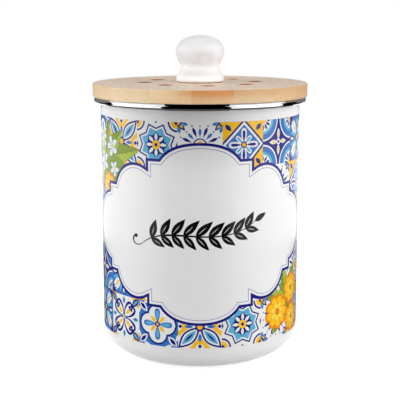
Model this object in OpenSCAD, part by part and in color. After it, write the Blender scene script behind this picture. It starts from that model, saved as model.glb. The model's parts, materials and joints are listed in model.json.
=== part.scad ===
// Countertop compost caddy: a straight-sided enamelled steel pot whose lip wears a stainless
// rim trim, and a lift-off wooden lid with a porcelain knob, vent holes and, underneath, a
// plug ring that seals against the pot and holds a charcoal filter behind a bayonet grille.
// The origin is the centre of the base on the table, +Z is up and -Y is the front.

/* [Pot] */
// Outside diameter of the pot wall
pot_d = 158; // [154:1:160]
// Height of the top of the rim trim above the table
pot_h = 204.1; // [140:0.1:260]
// Thickness of the enamelled steel
wall = 1.2; // [0.8:0.1:1.4]
// Outside radius of the bottom corner
corner_r = 21.5; // [12:0.5:25]
// Outside radius of the rim trim's round section
bead_r = 2.35; // [2.2:0.05:2.6]
// Thickness of the rim trim's sheet
trim_t = 0.45; // [0.3:0.05:0.5]
// How far the rim trim stands out past the pot wall
bead_overhang = 5; // [4.8:0.1:5.2]

/* [Lid board] */
// Diameter of the board
board_d = 170; // [169:1:180]
// Thickness of the board
board_t = 10.3; // [10:0.1:14]
// Radius of the board's top edge
board_edge_r = 1.2; // [0.6:0.1:2]
// Radius of the board's bottom edge
board_low_r = 0.4; // [0.3:0.1:1.2]
// Width of one stave
stave_w = 30; // [28:0.5:31]
// Place of the glue joint nearest the middle
stave_shift = -6; // [-7:0.1:-5.8]
// Diameter of a vent hole
vent_d = 11; // [8:0.5:11.5]
// Radius of the ring of vent holes
vent_ring_r = 44; // [42:0.5:45]
// Angle of the first vent hole from the front
vent_start = 7.5; // [5:0.5:9]

/* [Knob] */
// Diameter of the knob's ball
knob_d = 38.5; // [34:0.5:44]
// Height of the knob
knob_h = 36.1; // [32:0.1:40]
// Diameter of the knob's base flange
flange_d = 37.4; // [34:0.1:40]
// Diameter of the knob's neck
neck_d = 29.5; // [26:0.1:31]

/* [Filter] */
// Diameter of the charcoal filter
filter_d = 108; // [104:1:110]
// Thickness of the charcoal filter
filter_t = 6.6; // [4:0.1:7]
// Depth of the plug ring below the board
plug_h = 16; // [15:0.5:22]
// Turn that frees the bayonet grille
bayonet_turn = 28; // [20:1:32]

/* [Hidden] */
$fn = 96;

// Clearances
play = 0.3;       // between parts that move past each other
fit = 0.05;       // between parts that are held together
past = 1;         // how far a cutter runs past a face

// Pot
pot_r = pot_d / 2;
bore_r = pot_r - wall;
bend_r = 0.5;                                // inside radius of the bend under the lip
bead_z = pot_h - bead_r;
bead_c = pot_r + bead_overhang - bead_r;     // radius of the circle that the bead follows
bend_z = bead_z - wall / 2 - bend_r;
lip_room = 0.25;                             // between the lip's edge and the trim that wraps it
lip_r = bead_c + bead_r - trim_t - lip_room;
foot_w = 7.5;                                // width of the flat ring that the pot rests on
foot_out = pot_r - corner_r;
foot_slope = 3;
base_rise = 1;                               // how far the middle of the base stands off the table

// Lid board
stave_n = 6;
board_r = board_d / 2;
board_z = pot_h + play;
board_top = board_z + board_t;
vent_n = 8;
stud_r = 2.75;                               // hole for the knob screw
sink_r = 5.5;                                // counterbore for the knob screw's head
sink_h = 4;
pilot_r = 1.6 + fit;
pilot_h = 8;
screw_ring_r = 65;
screw_n = 4;

// Knob
seat_t = 0.6;                                // thickness of the knob's washer
knob_z = board_top + seat_t;
knob_r = knob_d / 2;
flange_r = flange_d / 2;
neck_r = neck_d / 2;
flange_h = 3;
flange_edge_r = 1.4;                         // radius of the flange's top edge
foot_edge_r = 0.4;                           // radius of the flange's bottom edge
neck_z = 11.2;                               // height of the neck above the knob's underside
flange_land = 0.5;                           // flat between the flange's rounded edge and the hollow
cove_r = 6.9;                                // hollow between the flange and the neck
waist_r = 4.6;                               // hollow between the neck and the ball
waist_turn = 52;                             // angle that the upper hollow turns through
ball_z = knob_h - 12.4;                      // height of the ball's widest place
insert_r = 4;
insert_h = 12;
insert_gap = 0.6;                            // how far the insert sits inside the knob
glue_room = 1;                               // above the insert
screw_short = 2;                             // how far the screw stops below the insert's top
thread_r = 2.5;
screw_r = thread_r - fit;

// Filter housing
plate_t = 1.6;
vent_clear_r = 50.5;                         // the plate is open inside this radius
cup_r = filter_d / 2 + 1.5;
cup_wall = 3;
skirt_r = pot_r - 4.5;
skirt_wall = 3;
groove_d = 1.8;
groove_low = 5;                              // height of the groove's floor above the plug's end
groove_h = 7;
rib_n = 8;
rib_t = 1.6;
rib_h = 8;
lead_in = 1;
screw_clear_r = 1.9;                         // hole for a housing screw
plug_z = board_z - plug_h;
cup_z = plug_z + 3;
groove_z = plug_z + groove_low;

// Bayonet grille
lug_n = 3;
lug_turn = 10;                               // angle that one lug takes up
lug_reach = 1.5;
lug_slack = 1;                               // angle left free beside a lug
grille_t = 2;
grille_z = cup_z + 2.2;
grille_r = cup_r - 0.4;
grille_hole_r = 3;
grille_rings = [[13, 6], [24.5, 12], [36, 18], [47, 24]];
grip_l = 76;
grip_w = 5;
grip_h = 6;
filter_gap = 0.2;                            // between the grille and the filter

// Points of an arc about c, from angle a0 to angle a1 in n steps
function arc(c, r, a0, a1, n = 8) =
    [for (i = [0:n]) let (a = a0 + (a1 - a0) * i / n) [c[0] + r * cos(a), c[1] + r * sin(a)]];

// Points of an ellipse's arc about c, from angle a0 to angle a1 without its first point
function quarter(c, rx, ry, a0, a1, n) =
    [for (i = [1:n]) let (a = a0 + (a1 - a0) * i / n) [c[0] + rx * cos(a), c[1] + ry * sin(a)]];

// The joints between staves, as places along X
function joint_x(k) = stave_shift + (k - stave_n / 2) * stave_w;

// Angles of lug k and of vent k
function lug_angle(k) = 60 + k * 360 / lug_n;
function vent_angle(k) = vent_start + k * 360 / vent_n - 90;

// A ring of rectangular section between two radii, over part of a turn
module ring(r0, r1, z0, z1, from = 0, turn = 360) {
    rotate([0, 0, from])
        rotate_extrude(angle = turn)
            translate([r0, z0]) square([r1 - r0, z1 - z0]);
}

module pot_shell() {
    outside = concat(
        [[0, base_rise], [foot_out - foot_w - foot_slope, base_rise], [foot_out - foot_w, 0]],
        arc([foot_out, corner_r], corner_r, -90, 0, 12),
        arc([pot_r + bend_r, bend_z], bend_r, 180, 90, 4),
        [[lip_r, bend_z + bend_r], [lip_r, bend_z + bend_r + wall]]);
    inside = concat(
        arc([pot_r + bend_r, bend_z], bend_r + wall, 90, 180, 6),
        arc([foot_out, corner_r], corner_r - wall, 0, -90, 12),
        [[foot_out - foot_w, wall], [foot_out - foot_w - foot_slope, base_rise + wall],
         [0, base_rise + wall]]);
    color("white") rotate_extrude() polygon(concat(outside, inside));
}

module rim_trim() {
    mouth = wall / 2 + fit / 2;
    outer = 180 - asin(mouth / bead_r);
    inner = 180 - asin(mouth / (bead_r - trim_t));
    color("silver")
        rotate_extrude()
            polygon(concat(arc([bead_c, bead_z], bead_r, outer, -outer, 28),
                           arc([bead_c, bead_z], bead_r - trim_t, -inner, inner, 28)));
}

module board() {
    rotate_extrude()
        polygon(concat([[0, board_z]],
                       arc([board_r - board_low_r, board_z + board_low_r], board_low_r, -90, 0, 4),
                       arc([board_r - board_edge_r, board_top - board_edge_r], board_edge_r, 0, 90, 4),
                       [[0, board_top]]));
}

module board_holes() {
    for (k = [0:vent_n - 1])
        rotate([0, 0, vent_angle(k)])
            translate([vent_ring_r, 0, board_z - past]) cylinder(r = vent_d / 2, h = board_t + 2 * past);
    translate([0, 0, board_z - past]) cylinder(r = stud_r, h = board_t + 2 * past);
    translate([0, 0, board_z - past]) cylinder(r = sink_r, h = sink_h + past);
    for (k = [0:screw_n - 1])
        rotate([0, 0, 45 + k * 360 / screw_n])
            translate([screw_ring_r, 0, board_z - past]) cylinder(r = pilot_r, h = pilot_h + past);
}

module lid_stave(n) {
    low = n == 1 ? -board_r - past : joint_x(n - 1);
    high = n == stave_n ? board_r + past : joint_x(n);
    color(n < 4 ? "wheat" : n == 4 ? "tan" : "burlywood")
        difference() {
            intersection() {
                board();
                translate([low, -board_r - past, board_z - past])
                    cube([high - low, board_d + 2 * past, board_t + 2 * past]);
            }
            board_holes();
        }
}

module porcelain_knob() {
    cove_end = acos(1 - (flange_r - flange_edge_r / 2 - flange_land - neck_r) / cove_r);
    ball_foot_z = neck_z + waist_r * sin(waist_turn);
    ball_foot_r = neck_r + waist_r * (1 - cos(waist_turn));
    under_turn = acos(ball_foot_r / knob_r);
    under_h = (ball_z - ball_foot_z) / sin(under_turn);
    outline = concat(
        [[0, 0], [flange_r - foot_edge_r, 0]],
        arc([flange_r - foot_edge_r, foot_edge_r], foot_edge_r, -45, 0, 2),
        arc([flange_r - flange_edge_r, flange_h], flange_edge_r, 0, 60, 4),
        arc([neck_r + cove_r, neck_z], cove_r, 180 + cove_end, 180, 8),
        arc([neck_r + waist_r, neck_z], waist_r, 180 - waist_turn / 6, 180 - waist_turn, 6),
        quarter([0, ball_z], knob_r, under_h, -under_turn, 0, 8),
        quarter([0, ball_z], knob_r, knob_h - ball_z, 0, 90, 16));
    color("whitesmoke")
        translate([0, 0, knob_z])
            difference() {
                rotate_extrude() polygon(outline);
                translate([0, 0, -past])
                    cylinder(r = insert_r + fit, h = past + insert_gap + insert_h + glue_room);
            }
}

module knob_insert() {
    color("goldenrod")
        translate([0, 0, knob_z + insert_gap])
            difference() {
                cylinder(r = insert_r, h = insert_h);
                translate([0, 0, -past]) cylinder(r = thread_r, h = insert_h + 2 * past);
            }
}

module knob_washer() {
    color("saddlebrown") ring(stud_r, flange_r - 0.8, board_top, knob_z);
}

module knob_screw() {
    head_r = 4.5;
    head_h = 3;
    slot_w = 1;
    slot_l = 5;
    slot_d = 1.6;
    color("silver")
        translate([0, 0, board_z])
            difference() {
                union() {
                    cylinder(r = head_r, h = head_h);
                    cylinder(r = screw_r, h = board_t + seat_t + insert_gap + insert_h - screw_short);
                }
                for (turn = [0, 90])
                    rotate([0, 0, turn])
                        translate([-slot_l / 2, -slot_w / 2, -past]) cube([slot_l, slot_w, slot_d + past]);
            }
}

module screw_washer() {
    color("silver") ring(stud_r, sink_r - play, board_z + sink_h - 1, board_z + sink_h);
}

module bayonet_slots() {
    low = grille_z - play;
    high = grille_z + grille_t + play;
    deep = grille_r + lug_reach + play;
    half = lug_turn / 2 + lug_slack;
    entry_step = 0.15;
    for (k = [0:lug_n - 1]) {
        ring(cup_r - past, deep, low, high, lug_angle(k) - half, bayonet_turn + 2 * half);
        ring(cup_r - 2 * past, deep - entry_step, cup_z - past, high - play / 2,
             lug_angle(k) + bayonet_turn - half + entry_step, 2 * (half - entry_step));
    }
}

module filter_housing() {
    color("gainsboro")
        difference() {
            union() {
                ring(vent_clear_r, skirt_r, board_z - plate_t, board_z);
                ring(cup_r, cup_r + cup_wall, cup_z, board_z - plate_t / 2);
                rotate_extrude()
                    polygon([[skirt_r - skirt_wall, plug_z], [skirt_r - lead_in, plug_z],
                             [skirt_r, plug_z + lead_in], [skirt_r, board_z - plate_t / 2],
                             [skirt_r - skirt_wall, board_z - plate_t / 2]]);
                for (k = [0:rib_n - 1])
                    rotate([0, 0, (k + 0.5) * 360 / rib_n])
                        translate([cup_r + cup_wall / 2, -rib_t / 2, board_z - plate_t / 2 - rib_h])
                            cube([skirt_r - cup_r - cup_wall / 2 - skirt_wall / 2, rib_t, rib_h]);
            }
            ring(skirt_r - groove_d, skirt_r + past, groove_z, groove_z + groove_h);
            bayonet_slots();
            for (k = [0:screw_n - 1])
                rotate([0, 0, 45 + k * 360 / screw_n])
                    translate([screw_ring_r, 0, board_z - plate_t - past])
                        cylinder(r = screw_clear_r, h = plate_t + 2 * past);
        }
}

module housing_screws() {
    head_r = 3.2;
    head_h = 1.9;
    slot_w = 0.8;
    slot_l = 3.4;
    slot_d = 1;
    tip_gap = 0.6;                           // between a screw's tip and the end of its pilot hole
    color("silver")
        for (k = [0:screw_n - 1])
            rotate([0, 0, 45 + k * 360 / screw_n])
                translate([screw_ring_r, 0, board_z - plate_t - head_h])
                    difference() {
                        union() {
                            cylinder(r = head_r, h = head_h);
                            cylinder(r = pilot_r - fit, h = head_h + plate_t + pilot_h - tip_gap);
                        }
                        for (turn = [0, 90])
                            rotate([0, 0, turn])
                                translate([-slot_l / 2, -slot_w / 2, -past])
                                    cube([slot_l, slot_w, slot_d + past]);
                    }
}

// One lip of the gasket in section, from its root at height z on the band to its tip and back
function gasket_lip(z, tip_r) =
    let (lip_t = 0.9, lip_up = 2.2, round = 0.5, chamfer = 0.3)
    [[skirt_r, z], [tip_r - chamfer, z + lip_up - round], [tip_r, z + lip_up],
     [tip_r - round, z + lip_up + chamfer], [skirt_r, z + lip_t]];

module lid_gasket() {
    end_gap = 0.15;                          // between the band and each side of its groove
    first_lip = 0.6;                         // height of the lower lip's root above the band's end
    lip_pitch = 3.2;
    band_in = skirt_r - groove_d + fit;
    tip_r = bore_r - play;
    low = groove_z + end_gap;
    high = groove_z + groove_h - end_gap;
    color("ivory")
        rotate_extrude()
            polygon(concat([[band_in, low], [skirt_r, low]],
                           gasket_lip(low + first_lip, tip_r),
                           gasket_lip(low + first_lip + lip_pitch, tip_r),
                           [[skirt_r, high], [band_in, high]]));
}

module charcoal_filter() {
    color("dimgray")
        translate([0, 0, grille_z + grille_t + filter_gap]) cylinder(r = filter_d / 2, h = filter_t);
}

module filter_retainer() {
    margin = grille_hole_r + 0.5;            // from a hole's centre to the nearest solid
    clear_x = grip_l / 2 + margin;
    clear_y = grip_w / 2 + margin;
    color("gainsboro")
        difference() {
            union() {
                translate([0, 0, grille_z]) cylinder(r = grille_r, h = grille_t);
                for (k = [0:lug_n - 1])
                    ring(grille_r - 1, grille_r + lug_reach, grille_z, grille_z + grille_t,
                         lug_angle(k) - lug_turn / 2, lug_turn);
                translate([-grip_l / 2, -grip_w / 2, grille_z - grip_h])
                    cube([grip_l, grip_w, grip_h + grille_t / 2]);
            }
            for (row = grille_rings)
                for (k = [0:row[1] - 1])
                    let (a = (k + 0.5) * 360 / row[1], x = row[0] * cos(a), y = row[0] * sin(a))
                        if (abs(x) > clear_x || abs(y) > clear_y)
                            translate([x, y, grille_z - past])
                                cylinder(r = grille_hole_r, h = grille_t + 2 * past);
        }
}

pot_shell();
rim_trim();
for (n = [1:stave_n])
    lid_stave(n);
porcelain_knob();
knob_insert();
knob_washer();
knob_screw();
screw_washer();
filter_housing();
housing_screws();
lid_gasket();
charcoal_filter();
filter_retainer();
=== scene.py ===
"""Looks of a countertop compost caddy: an enamelled pot with a printed tile band, a polished rim,
and a lift-off wooden lid with a porcelain knob.

Lengths are in millimetres until a mesh is made, and +Z is up with -Y the front. The stage alone is
in metres. The print is drawn flat, as u along the pot's wall from the middle of the front and v up
it, and then wrapped round.
"""
import json
import math

import bpy
import numpy as np
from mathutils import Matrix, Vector
from mathutils.geometry import delaunay_2d_cdt


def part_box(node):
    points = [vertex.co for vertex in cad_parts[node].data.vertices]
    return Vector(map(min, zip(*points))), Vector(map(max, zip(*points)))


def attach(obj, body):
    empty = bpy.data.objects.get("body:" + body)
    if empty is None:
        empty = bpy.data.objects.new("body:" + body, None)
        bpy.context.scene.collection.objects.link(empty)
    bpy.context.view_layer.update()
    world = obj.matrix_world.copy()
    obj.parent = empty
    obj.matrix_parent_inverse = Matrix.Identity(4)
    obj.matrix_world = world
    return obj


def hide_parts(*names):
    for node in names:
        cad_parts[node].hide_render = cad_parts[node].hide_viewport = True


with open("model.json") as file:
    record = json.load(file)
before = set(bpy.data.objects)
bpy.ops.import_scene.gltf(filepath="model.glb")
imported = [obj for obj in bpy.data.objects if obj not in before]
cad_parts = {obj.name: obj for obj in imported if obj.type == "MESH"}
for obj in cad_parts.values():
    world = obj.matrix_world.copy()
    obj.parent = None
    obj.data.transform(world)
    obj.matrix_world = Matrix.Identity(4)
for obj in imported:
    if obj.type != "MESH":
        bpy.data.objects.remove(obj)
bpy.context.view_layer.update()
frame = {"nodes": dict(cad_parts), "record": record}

MM = 0.001

# ---- Sizes that the solids set ----


def top_of(node):
    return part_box(node)[1].z / MM


def side_of(node):
    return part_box(node)[1].x / MM


RIM_TOP = top_of("rim_trim")
RIM_OUT = side_of("rim_trim")
RIM_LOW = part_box("rim_trim")[0].z / MM
BEAD_R = (RIM_TOP - RIM_LOW) / 2
BEAD_Z = RIM_TOP - BEAD_R
BEAD_C = RIM_OUT - BEAD_R
BEAD_OVERHANG = 5
POT_R = RIM_OUT - BEAD_OVERHANG
WALL = 1.2
CORNER_R = 21.5
KNOB_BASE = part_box("porcelain_knob")[0].z / MM
KNOB_TOP = top_of("porcelain_knob")
BOARD_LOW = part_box("lid_stave_4")[0].z / MM
BOARD_TOP = top_of("lid_stave_4")
BOARD_R = side_of("lid_stave_6")

# ---- Camera ----

CAMERA_BACK = 796.56
CAMERA_UP = 268.8
CAMERA_DOWN_DEG = 10.63
LENS = 89.87
SENSOR = 36


def add_camera():
    data = bpy.data.cameras.new("camera")
    data.lens = LENS
    data.sensor_width = SENSOR
    camera = bpy.data.objects.new("camera", data)
    bpy.context.scene.collection.objects.link(camera)
    camera.location = (0, -CAMERA_BACK * MM, CAMERA_UP * MM)
    camera.rotation_euler = (math.radians(90 - CAMERA_DOWN_DEG), 0, 0)
    bpy.context.scene.camera = camera


add_camera()
bpy.context.scene.view_settings.view_transform = "Standard"

# ---- Mesh helpers ----

SHARP_DEG = 35
ON_AXIS = 1e-6


def polar(angle_deg, reach, x=0, y=0):
    """The point at an angle and a distance from (x, y)."""
    a = math.radians(angle_deg)
    return x + reach * math.cos(a), y + reach * math.sin(a)


def arc(centre, radius, start, end, steps):
    """Points along an arc, from the start to the end angle in degrees."""
    return [polar(start + (end - start) * i / steps, radius, *centre) for i in range(steps + 1)]


def new_object(name, vertices, faces, body):
    mesh = bpy.data.meshes.new(name)
    mesh.from_pydata(vertices, [], faces)
    mesh.validate()
    obj = bpy.data.objects.new(name, mesh)
    bpy.context.scene.collection.objects.link(obj)
    if body:
        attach(obj, body)
    return obj


def smooth(obj, sharp_deg):
    obj.data.shade_smooth()
    obj.data.set_sharp_from_angle(angle=math.radians(sharp_deg))


def lathe(name, outline, body, around, sharp_deg=SHARP_DEG):
    """A closed solid turned about Z. The outline runs counter-clockwise as (radius, height), and
    where it starts and ends on the axis it is closed there by a point."""
    rings = []
    vertices = []
    for r, z in outline:
        count = around if r > ON_AXIS else 1
        rings.append(range(len(vertices), len(vertices) + count))
        vertices += [(*polar(360 * k / around, r * MM), z * MM) for k in range(count)]
    faces = []
    for low, high in zip(rings, rings[1:] + rings[:1]):
        for k in range(around):
            n = k + 1
            corners = (low[k % len(low)], low[n % len(low)], high[n % len(high)], high[k % len(high)])
            face = tuple(dict.fromkeys(corners))
            if len(face) > 2:
                faces.append(face)
    obj = new_object(name, vertices, faces, body)
    smooth(obj, sharp_deg)
    return obj


# ---- Materials ----
# The scales of patterns are in repeats per metre.

MIX_INPUTS, MIX_RESULT = (0, 6, 7), 2  # the Mix node's factor, two colours and result


class Finish:
    """A node material built from a Principled shader and a few helpers."""

    def __init__(self, name, colour, roughness, **inputs):
        self.material = bpy.data.materials.new(name)
        self.material.use_nodes = True
        self.tree = self.material.node_tree
        self.shader = self.tree.nodes["Principled BSDF"]
        inputs.update(Base_Color=(*colour, 1), Roughness=roughness)
        for key, value in inputs.items():
            self.shader.inputs[key.replace("_", " ")].default_value = value

    def node(self, kind, **settings):
        """A new node. Each setting is one of its properties or the value of an input."""
        made = self.tree.nodes.new("ShaderNode" + kind)
        for key, value in settings.items():
            if hasattr(made, key):
                setattr(made, key, value)
            else:
                made.inputs[key.replace("_", " ")].default_value = value
        return made

    def link(self, source, target):
        self.tree.links.new(source, target)

    def after(self, source, kind, **settings):
        """A new node whose first input is the source."""
        made = self.node(kind, **settings)
        self.link(source, made.inputs[0])
        return made

    def feed(self, socket, value):
        """Gives a socket a number, a colour or what another node puts out."""
        if isinstance(value, (int, float)):
            socket.default_value = value
        elif isinstance(value, tuple):
            socket.default_value = (*value, 1)
        else:
            self.link(value, socket)

    def place(self, scale=(1, 1, 1), location=(0, 0, 0)):
        """Object coordinates, scaled and then shifted."""
        coords = self.node("TexCoord").outputs["Object"]
        return self.after(coords, "Mapping", Scale=scale, Location=location).outputs[0]

    def axes(self, vector):
        """A vector's X, Y and Z."""
        return self.after(vector, "SeparateXYZ").outputs

    def length(self, vector):
        return self.after(vector, "VectorMath", operation="LENGTH").outputs["Value"]

    def noise(self, vector, scale, detail=3, roughness=0.5, distortion=0):
        made = self.after(vector, "TexNoise", Scale=scale, Detail=detail, Roughness=roughness,
                          Distortion=distortion)
        return made.outputs["Fac"]

    def cells(self, vector, scale):
        """Voronoi cells, with a distance from each middle and a random colour for each."""
        return self.after(vector, "TexVoronoi", Scale=scale, Randomness=1.0).outputs

    def fade(self, value, start, end):
        """0 up to the start and 1 from the end, with a smooth step between them."""
        made = self.after(value, "MapRange", interpolation_type="SMOOTHSTEP", From_Min=start,
                          From_Max=end)
        return made.outputs["Result"]

    def ramp(self, fac, stops):
        """A colour ramp whose stops are (place, grey)."""
        made = self.after(fac, "ValToRGB")
        elements = made.color_ramp.elements
        while len(elements) < len(stops):
            elements.new(0.5)
        for element, (place, grey) in zip(elements, stops):
            element.position = place
            element.color = (grey, grey, grey, 1)
        return made.outputs["Color"]

    def mix(self, fac, a, b, blend="MIX"):
        made = self.node("Mix", data_type="RGBA", blend_type=blend)
        for socket, value in zip(MIX_INPUTS, (fac, a, b)):
            self.feed(made.inputs[socket], value)
        return made.outputs[MIX_RESULT]

    def maths(self, operation, a, b=0.0):
        made = self.node("Math", operation=operation)
        self.feed(made.inputs[0], a)
        self.feed(made.inputs[1], b)
        return made.outputs[0]

    def times(self, a, b):
        return self.maths("MULTIPLY", a, b)

    def colour(self, source):
        self.link(source, self.shader.inputs["Base Color"])

    def rough(self, pattern, middle, spread):
        """Roughness that a pattern moves about its middle."""
        level = self.maths("ADD", self.times(pattern, spread), middle - spread / 2)
        self.link(level, self.shader.inputs["Roughness"])

    def bump(self, height, distance_mm):
        made = self.node("Bump", Distance=distance_mm * MM, Strength=1.0)
        self.link(height, made.inputs["Height"])
        self.link(made.outputs["Normal"], self.shader.inputs["Normal"])


def linear(level):
    """A 0-255 display value as the linear value that a shader takes."""
    return level / 255 / 12.92 if level <= 10 else ((level / 255 + 0.055) / 1.055) ** 2.4


def srgb(r, g, b):
    return linear(r), linear(g), linear(b)


def shade(colour, factor):
    """A colour made darker or lighter, and no lighter than white."""
    return tuple(min(c * factor, 1) for c in colour)


def glaze(name, colour, roughness=0.16, specular=0.5):
    """Fired glass: a faintly clouded colour, a slightly wavy surface and uneven gloss."""
    look = Finish(name, colour, roughness, Specular_IOR_Level=specular)
    place = look.place()
    cloud = look.noise(place, scale=130)
    look.colour(look.mix(cloud, shade(colour, 0.985), shade(colour, 1.015)))
    look.rough(look.noise(place, scale=420, detail=2), roughness, 0.08)
    look.bump(look.noise(place, scale=260, detail=2), 0.015)
    return look


def metal(name, colour, roughness, scale, uneven):
    """Metal with fine polishing marks, which the scale stretches."""
    look = Finish(name, colour, roughness, Metallic=1.0)
    marks = look.noise(look.place(scale), 1.0, detail=4, roughness=0.6)
    look.colour(look.mix(marks, shade(colour, 0.96), colour))
    look.rough(marks, roughness, uneven)
    look.bump(marks, 0.002)
    return look


def moulded(name, colour, roughness, grain_mm=0.35, depth_mm=0.02):
    """Moulded plastic or rubber with a fine spark-eroded grain."""
    look = Finish(name, colour, roughness, Specular_IOR_Level=0.4)
    grain = look.noise(look.place(), 1 / (grain_mm * MM), roughness=0.6)
    broad = look.noise(look.place(), scale=60)
    look.colour(look.mix(broad, shade(colour, 0.94), colour))
    look.rough(grain, roughness, 0.16)
    look.bump(grain, depth_mm)
    return look


def dress(obj, finish, slot):
    obj.data.materials.clear()
    obj.data.materials.append(finish.material)


# ---- Stage: backdrop, floor, lamps, and the cards that bright parts reflect ----
# Lengths here are in metres. The profiles that circle() makes are given in millimetres.

AMBIENT = 0.16
BACKDROP = 1.0
FLOOR_HALF = 3.0
FLOOR_GAP = 0.00005
FLOOR_TONE = 0.55
GLOW_NEAR = 0.8
GLOW_FAR = 1.0
LOOK_AT = 0.13
BEAM_BACK = 0.6
WHITE = (1, 1, 1, 1)
DARK, DIM, MIRRORED_WHITE = 0.0, 0.2, 1.0


def larger(tree, a, b):
    made = tree.nodes.new("ShaderNodeMath")
    made.operation = "MAXIMUM"
    tree.links.new(a, made.inputs[0])
    tree.links.new(b, made.inputs[1])
    return made.outputs[0]


def white_light(node, strength):
    node.inputs["Color"].default_value = WHITE
    node.inputs["Strength"].default_value = strength
    return node.outputs[0]


def add_world():
    """A low, even light, and a white backdrop for what the camera or a shiny part sees."""
    world = bpy.data.worlds.new("studio")
    bpy.context.scene.world = world
    world.use_nodes = True
    tree = world.node_tree
    link = tree.links.new
    path = tree.nodes.new("ShaderNodeLightPath")
    shiny = larger(tree, path.outputs["Is Glossy Ray"], path.outputs["Is Transmission Ray"])
    seen = larger(tree, path.outputs["Is Camera Ray"], shiny)
    both = tree.nodes.new("ShaderNodeMixShader")
    link(seen, both.inputs[0])
    link(white_light(tree.nodes["Background"], AMBIENT), both.inputs[1])
    link(white_light(tree.nodes.new("ShaderNodeBackground"), BACKDROP), both.inputs[2])
    link(both.outputs[0], tree.nodes["World Output"].inputs["Surface"])


def add_floor():
    """A pale floor that reads as white and still keeps the caddy's shadow."""
    signs = ((-1, -1), (1, -1), (1, 1), (-1, 1))
    corners = [(x * FLOOR_HALF, y * FLOOR_HALF, -FLOOR_GAP) for x, y in signs]
    floor = new_object("floor", corners, [(0, 1, 2, 3)], None)
    look = Finish("floor", (FLOOR_TONE,) * 3, 0.9, Specular_IOR_Level=0.0, Emission_Color=WHITE)
    path = look.node("LightPath")
    seen = look.maths("MAXIMUM", path.outputs["Is Camera Ray"], path.outputs["Is Glossy Ray"])
    level = look.ramp(look.length(look.place()), [(0.25, GLOW_NEAR), (1.0, GLOW_FAR)])
    look.link(look.times(seen, level), look.shader.inputs["Emission Strength"])
    floor.data.materials.append(look.material)


def lamp(name, place, target, size, watts, mirrored=False):
    """A rectangular lamp that faces the target. One that isn't mirrored leaves no highlight."""
    data = bpy.data.lights.new(name, "AREA")
    data.shape = "RECTANGLE"
    data.size, data.size_y = size
    data.energy = watts
    made = bpy.data.objects.new(name, data)
    bpy.context.scene.collection.objects.link(made)
    made.location = place
    made.visible_glossy = mirrored
    made.visible_camera = False
    facing = Vector(target) - made.location
    made.rotation_euler = facing.to_track_quat("-Z", "Y").to_euler()
    return made


def softbox(name, azimuth_deg, height, size, watts, distance=1.0, mirrored=True):
    """A lamp that faces the caddy's middle. Azimuth 0 is in front and 90 is to the right."""
    place = (*polar(azimuth_deg - 90, distance), height)
    lamp(name, place, (0, 0, LOOK_AT), size, watts, mirrored)


def beam(name, height, size, spread_deg, watts):
    """A gridded lamp in front whose level beam lights the heights that it faces."""
    made = lamp(name, (0, -BEAM_BACK, height), (0, 0, height), size, watts)
    made.data.spread = math.radians(spread_deg)


def card(name, azimuths, profile, tone=DARK):
    """A dark, grey or white card that only reflections see, to draw bands in bright metal: far off as
    studios use them, and just under the rim and lid as painted shade and painted highlights. It spans
    the azimuths and follows a profile of (radius, height)."""
    steps = 48
    rows = len(profile)
    vertices = []
    for i in range(steps + 1):
        azimuth = azimuths[0] + (azimuths[1] - azimuths[0]) * i / steps
        vertices += [(*polar(azimuth - 90, r), z) for r, z in profile]
    faces = [(k, k + rows, k + rows + 1, k + 1)
             for i in range(steps) for k in range(rows * i, rows * i + rows - 1)]
    made = new_object(name, vertices, faces, None)
    look = Finish(name, (0, 0, 0), 1.0, Specular_IOR_Level=0.0, Emission_Color=WHITE,
                  Emission_Strength=tone)
    made.data.materials.append(look.material)
    made.visible_camera = False
    made.visible_diffuse = False
    made.visible_shadow = False


def circle(inner, outer, height):
    """The profile of a flat ring round the caddy."""
    return [(inner * MM, height * MM), (outer * MM, height * MM)]


add_world()
add_floor()
softbox("softbox_left", azimuth_deg=-82, height=0.55, size=(0.9, 1.1), watts=9.6)
softbox("softbox_right", azimuth_deg=72, height=0.55, size=(0.9, 1.1), watts=9.9)
softbox("softbox_top", azimuth_deg=0, height=1.3, size=(0.9, 0.9), watts=3.8, distance=0.1,
        mirrored=False)
softbox("softbox_back", azimuth_deg=180, height=0.25, size=(0.9, 0.45), watts=3.0, mirrored=False)
beam("beam_lid", height=0.227, size=(0.17, 0.048), spread_deg=2, watts=0.0118)
beam("beam_pot", height=0.083, size=(0.2, 0.166), spread_deg=5, watts=0.02)

CARD_AT = 1.7
CARD_LOW = 0.001
FRONT_CARD = [(0.1, CARD_LOW), (CARD_AT, CARD_LOW), (CARD_AT, 1.2), (0.9, 2.2), (0.2, 2.5)]
WALL_CARD = [(CARD_AT, 0.0), (CARD_AT, 1.0)]
card("card_front", (-40, 32), FRONT_CARD)
card("card_left", (-118, -103), WALL_CARD)
card("card_right", (96, 124), WALL_CARD)
card("card_back", (124, 242), WALL_CARD, DIM)
card("card_floor", (32, 320), [(0.1, CARD_LOW), (0.4, CARD_LOW)], 0.12)

# Painted shade: the dark and grey cards just under the rim's bead, seen only in reflections, paint dark
# bands into the rim and stand in for the shade under the bead.
UNDER_RIM = BOARD_LOW - 5.9
RIM_CARD = circle(RIM_OUT + 0.5, RIM_OUT + 36, UNDER_RIM)
card("card_rim_left", (-76, -55), RIM_CARD)
card("card_rim_right", (50, 76), RIM_CARD)
card("card_rim_back", (76, 284), RIM_CARD, DIM)
card("card_rim_line", (-55, 50), circle(RIM_OUT - 1.5, RIM_OUT + 1.5, UNDER_RIM), 0.1)
card("card_rim_front", (-18, 15), circle(POT_R + 0.8, RIM_OUT + 10.5, UNDER_RIM - 0.1))

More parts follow.
